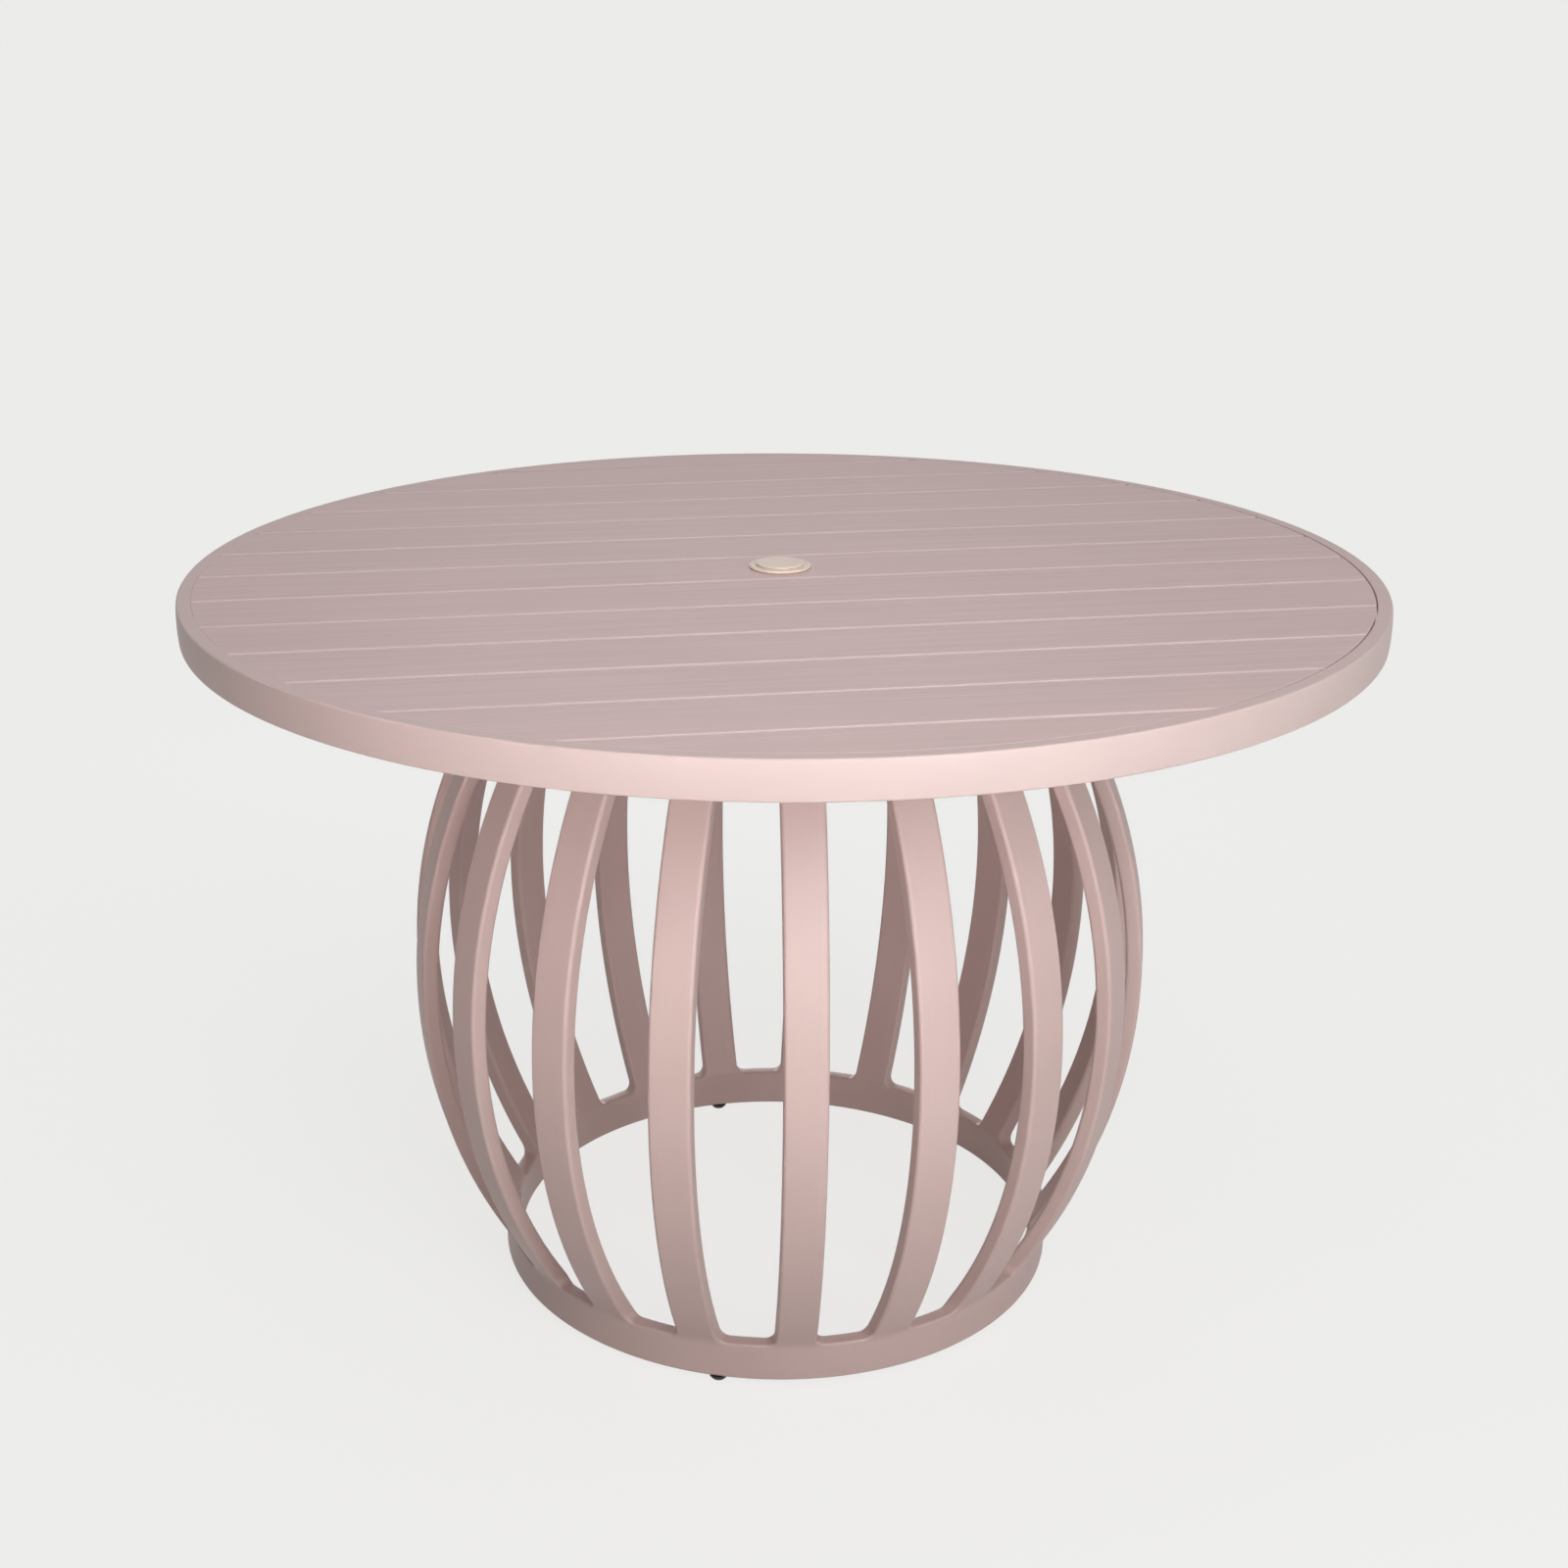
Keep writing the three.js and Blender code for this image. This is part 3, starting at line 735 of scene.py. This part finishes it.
finished("mounting_tabs", together("mounting_tabs", tabs), bracket_coat,
         [f"mounting_tab_{i}" for i in range(1, 5)])

# The welds of the tabs: a bead along the joint with the top ring, on each tab's upper and lower face, laid in
# short overlapping ripples.
def weld_bead(name, path, radius, ripple=0.0022, sides=8):
    """A rippled bead along a path of points, closed at both ends."""
    path = np.array(path)
    steps = np.linalg.norm(np.diff(path, axis=0), axis=1)
    along = np.concatenate(((0,), np.cumsum(steps)))
    cuts_per_ripple, fewest_cuts = 6, 8
    count = max(int(along[-1] / ripple * cuts_per_ripple), fewest_cuts)
    wanted = np.linspace(0, along[-1], count)
    points = np.stack([np.interp(wanted, along, path[:, i]) for i in range(3)], 1)
    ways = np.gradient(points, axis=0)
    ways /= np.linalg.norm(ways, axis=1)[:, None]
    rows = []
    for point, way, run in zip(points, ways, wanted):
        side = np.cross(way, (0.0, 0.0, 1.0))
        side /= np.linalg.norm(side)
        rise = np.cross(side, way)
        swell = 0.9 + 0.1 * math.sin(run / ripple * 2 * math.pi)
        end = min(run, along[-1] - run) / radius
        size = radius * swell * math.sqrt(min(1, max(end, 0.02)))
        rows.append([tuple(point + size * (math.cos(a) * side + math.sin(a) * rise))
                     for a in np.arange(sides) * 2 * math.pi / sides])
    points, faces = rows_joined(rows, True, False)
    faces += [range(sides), range(len(points) - sides, len(points))]
    return closed_mesh(name, points, faces)


beads = []
bead_end = tab_width / 2 - 0.001
bead_circle = ring_inner - 0.0003
for side_x in (1, -1):
    for side_y in (1, -1):
        for level, bead_radius in ((tab_bottom, 0.0022), (tab_top - 0.0016, 0.0016)):
            reach = np.linspace(bar_offset - bead_end, bar_offset + bead_end, 25)
            line = [(side_x * x, side_y * math.sqrt(bead_circle**2 - x * x), level) for x in reach]
            beads.append(weld_bead("bead", line, bead_radius))
finished("tab_welds", together("tab_welds", beads), bracket_coat, [])

# Bolts and nuts: four zinc-plated M8 flange bolts, put up through the tabs and the cross bars' lower walls,
# into hexagonal nuts welded inside the bars.
zinc = plain_finish("bright_zinc", shade(186, 187, 184), 0.34, metallic=1)
bolt_face = tab_bottom - 0.0003
bolt_flange, bolt_head = 0.0015, 0.005
bolt_across = 0.013
flange_radius = 0.0090
shank_radius, root_radius = 0.0040, 0.0034
thread_start, thread_pitch, thread_turns = 0.7066, 0.00125, 6
nut_low, nut_high = 0.707, 0.7135
bolt_end = nut_high + 0.002
fastener_sharp = math.radians(25)


def six_sided(angle, across):
    """Distance from the middle to the side of a hexagon, at an angle."""
    folded = (angle + math.pi / 6) % (math.pi / 3) - math.pi / 6
    return across / 2 / math.cos(folded)


def hexagon_rows(profile, steps=72, across=bolt_across):
    """A turned piece of levels (radius, height, six-sided), cut to a hexagon where the last is true."""
    rows = []
    for a in np.arange(steps) * 2 * math.pi / steps:
        limit = six_sided(a, across)
        rows.append([(min(r, limit) * math.cos(a), min(r, limit) * math.sin(a), z) if cut
                     else (r * math.cos(a), r * math.sin(a), z) for r, z, cut in profile])
    return rows


corner = bolt_across / 2 / math.cos(math.pi / 6)
head_foot = bolt_face - bolt_flange - bolt_head
bolt_levels = [(0, head_foot + 0.0004, True), (0.0045, head_foot + 0.0004, True), (0.0050, head_foot, True),
               (0.0062, head_foot, True), (corner - 0.0004, head_foot + 0.0006, True),
               (corner, head_foot + 0.0012, True), (corner, bolt_face - 0.0021, True),
               (0.0076, bolt_face - 0.0018, False), (0.0087, bolt_face - 0.0013, False),
               (flange_radius, bolt_face - 0.0008, False), (flange_radius, bolt_face - 0.0002, False),
               (0.0088, bolt_face, False), (0.0042, bolt_face, False),
               (shank_radius, bolt_face + 0.0003, False), (shank_radius, thread_start - 0.0004, False)]
for turn in range(thread_turns):
    level = thread_start + turn * thread_pitch
    bolt_levels += [(root_radius, level, False), (shank_radius, level + thread_pitch / 2, False)]
bolt_levels += [(root_radius, bolt_end - 0.0004, False), (0.0030, bolt_end, False), (0, bolt_end, False)]
one_bolt = closed_mesh("bolt", *rows_joined(hexagon_rows(bolt_levels), False, True))

nut_face = 0.0058  # radius at which the nut's corners are bevelled off
nut_levels = [(bolt_hole, nut_low, False), (nut_face, nut_low, True),
              (corner - 0.0002, nut_low + 0.0005, True), (corner, nut_low + 0.0012, True),
              (corner, nut_high - 0.0012, True), (corner - 0.0002, nut_high - 0.0005, True),
              (nut_face, nut_high, True), (0.0050, nut_high, False), (bolt_hole, nut_high - 0.0005, False)]
one_nut = closed_mesh("nut", *rows_joined(hexagon_rows(nut_levels), True, True))


def on_four_corners():
    """Copies of a piece at the four corners of a rectangle about the origin."""
    tree, given, made = node_tree("on_four_corners",
                                  {"Length": "Float", "Width": "Float", "Coat": "Material"})
    grid = added(tree.nodes, "GeometryNodeMeshGrid", {"Vertices X": 2, "Vertices Y": 2})
    tree.links.new(given.outputs["Length"], grid.inputs["Size X"])
    tree.links.new(given.outputs["Width"], grid.inputs["Size Y"])
    return coated(tree, copied(tree, given.outputs["Mesh"], grid.outputs["Mesh"]), given, made)


corners = on_four_corners()
places = {"Length": 2 * bar_offset, "Width": 2 * bolt_place, "Coat": zinc}
finished("mounting_bolts", grown("mounting_bolts", corners, one_bolt, places), zinc,
         [f"mounting_bolt_{i}" for i in range(1, 5)], sharp=fastener_sharp)
finished("weld_nuts", grown("weld_nuts", corners, one_nut, places), zinc,
         [f"weld_nut_{i}" for i in range(1, 5)], sharp=fastener_sharp)


# Cross bars: two lengths of 40 x 20 mm rectangular aluminium tube under the slats. Their ends are cut to the
# round of the rim and welded to it, and the table top is bolted on through them.
rim_inner = 0.5575
bar_width, bar_height, bar_wall = 0.040, 0.020, 0.002
bar_high = 0.7247
bar_fit = 0.0003


def cut_to_round(outline, centre, reach):
    """The two ends of a bar that runs along Y, where it meets a circle of this radius about the origin."""
    ends = []
    for sign in (-1, 1):
        ends.append([(centre + across, sign * math.sqrt(reach**2 - (centre + across)**2), up)
                     for across, up in outline])
    return ends


def round_box(half, low, high, corner, steps=4):
    """The outline of a rectangle with round corners, as wide to the left of 0 as to the right."""
    rectangle = [(-half, low, corner), (half, low, corner), (half, high, corner), (-half, high, corner)]
    return eased(rectangle, steps)


bars = []
bar_low = bar_high - bar_height
skin = round_box(bar_width / 2, bar_low, bar_high, 0.0025)
bore = round_box(bar_width / 2 - bar_wall, bar_low + bar_wall, bar_high - bar_wall, 0.001)
for side in (-1, 1):
    outer = cut_to_round(skin, side * bar_offset, rim_inner - bar_fit)
    inner = cut_to_round(bore, side * bar_offset, rim_inner - bar_fit)
    bars.append(closed_mesh("bar", *rows_joined([outer[0], outer[1], inner[1], inner[0]], True, True)))
bar_coat = powder_coat("bar_powder_coat", (420, 4, 1), 0.00004, "Object", grain_tint=0.2)
finished("cross_bars", together("cross_bars", bars), bar_coat,
         ["cross_bar_1", "cross_bar_2"])

# Umbrella plate: a 4 mm plate with rounded corners and a round hole, welded under the middle slats so that
# the pole pushes on it and not on one slat. The collar's sleeve passes through it.
collar_hole = 0.0255
plate_corner, plate_edge, plate_thickness = 0.010, 0.0006, 0.004
half_long, half_wide = 0.075, 0.060
plate_outline = round_box(half_long, -half_wide, half_wide, plate_corner, 8)
plate = pierced_plate("umbrella_plate_steel", plate_outline, collar_hole, np.zeros(2),
                      bar_high - plate_thickness, bar_high, plate_edge)
finished("stiffening_plate", plate, bracket_coat, ["umbrella_plate"])

# Rim band: one hoop of aluminium extrusion round the table top, 34 mm high, with a slightly crowned outer
# face and small rounds at its edges. Its inner face stands a little off the slat ends.
rim_outer = 0.5715
rim_low, rim_high = 0.703, 0.737
rim_round, rim_inner_round = 0.002, 0.0006
rim_crown = 0.0009
crowned_part = 0.6  # share of the face's height, between the rounds
rim_facets = 384
crown = [(rim_outer - rim_crown * t * t, (rim_low + rim_high) / 2 + t * (rim_high - rim_low) / 2)
         for t in np.linspace(-crowned_part, crowned_part, 9)]
rim_outline = eased([
    (rim_inner, rim_low, rim_inner_round), (rim_outer - rim_crown, rim_low, rim_round), *crown,
    (rim_outer - rim_crown, rim_high, rim_round), (rim_inner, rim_high, rim_inner_round)], 6)
rim_coat = powder_coat("rim_powder_coat", (3, 3, 420), 0.00003, "Object", grain_tint=0.1,
                       shades=(shade(205, 183, 179), shade(210, 187, 183)))
finished("rim_hoop", turned("rim_hoop", rim_outline, rim_facets), rim_coat, ["rim_band"])

# Slats: thirteen planks of one aluminium extrusion, an open channel with two inner webs under a thin skin.
# They lie 3.5 mm apart on the cross bars, and are cut to the round of the top in one go, with the umbrella
# hole.
slat_count = 13
slat_pitch, slat_width = 0.0903, 0.0868
slat_depth, slat_skin, slat_web = 0.012, 0.0022, 0.002
slat_round, foot_round, bay_round = 0.002, 0.0004, 0.0008
slat_end_radius = 0.5566
uncut_half = 0.6  # half a plank's length before it is cut to the round
cut_low, cut_high = -0.02, 0.002  # from the slats' faces: the cutting disc's lower and upper face
cut_facets = 512


def slat_section():
    """The outline of the channel, and from right to left the three bays between its webs."""
    side = slat_width / 2
    bay = (slat_width - 4 * slat_web) / 3
    corners = [(-side, -slat_depth, foot_round), (-side, 0, slat_round), (side, 0, slat_round),
               (side, -slat_depth, foot_round)]
    for i in (2, 1, 0):
        left = -side + slat_web + i * (bay + slat_web)
        corners += [(left + bay, -slat_depth, foot_round), (left + bay, -slat_skin, bay_round),
                    (left, -slat_skin, bay_round), (left, -slat_depth, foot_round)]
    return eased(corners, 3)


section = slat_section()
ends = [[(x, y, z) for y, z in section] for x in (-uncut_half, uncut_half)]
slat_points, slat_faces = rows_joined(ends, True, False)
slat_faces += [range(len(section)), range(len(section), 2 * len(section))]
one_slat = closed_mesh("slat", slat_points, slat_faces)
end_edge = [(slat_end_radius, -0.0004), (slat_end_radius - 0.0001, -0.0002),
            (slat_end_radius - 0.0002, -0.0001), (slat_end_radius - 0.0004, 0)]
trimming = turned("trimming_disc", [(collar_hole, cut_low), (slat_end_radius, cut_low), *end_edge,
                                    (slat_end_radius - 0.003, cut_high), (collar_hole, cut_high)], cut_facets)
deck_shift = (-0.0008, -0.0004)  # from the middle of the rim, to the left and the front
for point in trimming.vertices:
    if math.hypot(*point.co.xy) > 2 * collar_hole:
        point.co.x += deck_shift[0]
        point.co.y += deck_shift[1]
trimmer = bpy.data.objects.new("trimming_disc", trimming)
scene.collection.objects.link(trimmer)


def slat_deck():
    """Planks side by side, trimmed to the shape of another object, and lifted to their height."""
    tree, given, made = node_tree("slat_deck", {"Count": "Int", "Pitch": "Float", "Height": "Float",
                                                "Trimmed to": "Object", "Coat": "Material"})
    nodes, links = tree.nodes, tree.links
    line = nodes.new("GeometryNodeMeshLine")
    first = nodes.new("ShaderNodeCombineXYZ")
    step = nodes.new("ShaderNodeCombineXYZ")
    shape = nodes.new("GeometryNodeObjectInfo")
    trim = added(nodes, "GeometryNodeMeshBoolean", operation="INTERSECT", solver="MANIFOLD")
    lift = nodes.new("GeometryNodeTransform")
    up = nodes.new("ShaderNodeCombineXYZ")
    half_span = maths(tree, "MULTIPLY", maths(tree, "SUBTRACT", given.outputs["Count"], 1.0), -0.5)
    links.new(maths(tree, "MULTIPLY", half_span, given.outputs["Pitch"]), first.inputs["Y"])
    links.new(given.outputs["Pitch"], step.inputs["Y"])
    links.new(given.outputs["Count"], line.inputs["Count"])
    links.new(first.outputs[0], line.inputs["Start Location"])
    links.new(step.outputs[0], line.inputs["Offset"])
    links.new(given.outputs["Trimmed to"], shape.inputs["Object"])
    links.new(copied(tree, given.outputs["Mesh"], line.outputs[0]), trim.inputs["Mesh 2"])
    links.new(shape.outputs["Geometry"], trim.inputs["Mesh 2"])
    links.new(trim.outputs["Mesh"], lift.inputs["Geometry"])
    links.new(given.outputs["Height"], up.inputs["Z"])
    links.new(up.outputs[0], lift.inputs["Translation"])
    return coated(tree, lift.outputs[0], given, made)


def shaded_flat(mesh):
    """The same mesh with normals weighted by area, so that large faces look flat up to their rounds."""
    source = bpy.data.objects.new("shaded_flat", mesh)
    scene.collection.objects.link(source)
    mesh.shade_smooth()
    mesh.set_sharp_from_angle(angle=sharp_angle)
    modifier = source.modifiers.new("weighted", "WEIGHTED_NORMAL")
    modifier.weight = 100
    modifier.keep_sharp = True
    result = bpy.data.meshes.new_from_object(source.evaluated_get(bpy.context.evaluated_depsgraph_get()))
    source.modifiers.remove(modifier)
    bpy.data.objects.remove(source)
    return result


# The slats' coat carries a painted highlight: a lighter colour on their edges and groove walls, which don't
# face up.
slat_coat = powder_coat("slat_powder_coat", (2, 160, 2), 0.00004, "Object", grain_tint=0.6,
                        shades=(shade(203, 177, 174), shade(217, 191, 188)), painted_edge_highlight=shade(225, 202, 201))
deck_values = {"Count": slat_count, "Pitch": slat_pitch, "Height": rim_high, "Trimmed to": trimmer,
               "Coat": slat_coat}
deck = grown("slat_deck", slat_deck(), one_slat, deck_values)
bpy.data.objects.remove(trimmer)
finished("top_slats", shaded_flat(deck), slat_coat,
         [f"slat_{i:02d}" for i in range(1, slat_count + 1)])

# Umbrella collar: a cream moulded insert in the hole of the middle slat. Its round flange lies on the slat
# with a shallow groove inside its lip, and its sleeve runs down through the umbrella plate.
cream = plain_finish("cream_moulded_plastic", shade(234, 214, 199), 0.34)
slat_face = rim_high
sleeve_bore, sleeve_outer, flange_outer = 0.021, 0.025, 0.030
sleeve_end = slat_face - 0.0203
flange_low, flange_high = slat_face + 0.0003, slat_face + 0.0028
groove_floor = flange_high - 0.0009
collar_outline = eased([
    (sleeve_bore, sleeve_end, 0.0006), (sleeve_outer, sleeve_end, 0.0010), (sleeve_outer, flange_low),
    (flange_outer - 0.0008, flange_low), (flange_outer, flange_low + 0.0007, 0.0003),
    (flange_outer, flange_high, 0.0012), (0.0264, flange_high, 0.0005), (0.0252, groove_floor, 0.0004),
    (0.0236, groove_floor, 0.0004), (0.0232, flange_high, 0.0002), (sleeve_bore, flange_high, 0.0006)])
collar_facets = 128
finished("collar_insert", turned("collar_insert", collar_outline, collar_facets), cream,
         ["umbrella_collar"])

# Umbrella plug: the cream cap that closes the collar when no umbrella stands in the table. Its thin skirt
# fits in the collar's bore, and it lifts straight out by its edge.
cap_outer = 0.023
cap_low, cap_high = slat_face + 0.0031, slat_face + 0.0052
cap_bevel = 0.0014
skirt_inner, skirt_outer = 0.0186, 0.0206
skirt_end = cap_low - 0.012
plug_outline = [(0, cap_low)] + eased([
    (skirt_inner, cap_low, 0.0005), (skirt_inner, skirt_end, 0.0004), (skirt_outer, skirt_end, 0.0008),
    (skirt_outer, cap_low), (cap_outer, cap_low, 0.0003), (cap_outer, cap_high - 0.0009, 0.0006),
    (cap_outer - cap_bevel, cap_high, 0.0010)]) + [(0, cap_high)]
finished("plug_cap", turned("plug_cap", plug_outline, collar_facets, closed=False), cream,
         ["umbrella_plug"], body="plug")
